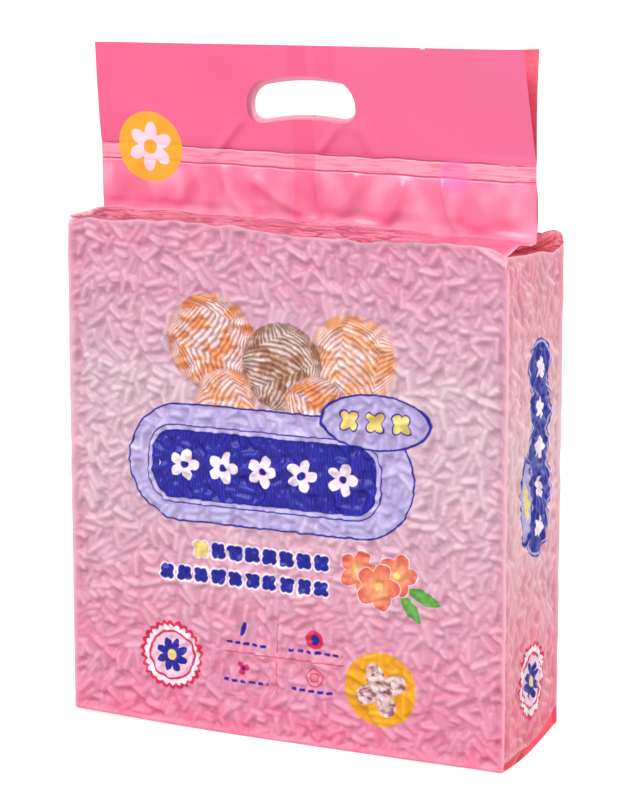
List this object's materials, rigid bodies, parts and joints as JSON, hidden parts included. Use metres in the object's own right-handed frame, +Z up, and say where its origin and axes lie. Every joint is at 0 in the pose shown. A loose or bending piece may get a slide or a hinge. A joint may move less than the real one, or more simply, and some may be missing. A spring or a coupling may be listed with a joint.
{
  "type": "cat litter bag",
  "caption": "Vacuum-packed block bag of pelleted cat litter with a flat film carry header, an arched hand hole and gusseted sides.",
  "frame": {"origin": "centre of the base that the bag stands on", "axes": "+Z up through the carry header, +Y from the printed front towards the back, +X to the right as the front is read"},
  "size_m": [0.275, 0.077, 0.395],
  "materials": {
    "printed_film": "glossy printed film drawn tight over pellets"
  },
  "bodies": {
    "root": {"litter_bag": "printed_film"}
  },
  "joints": []
}
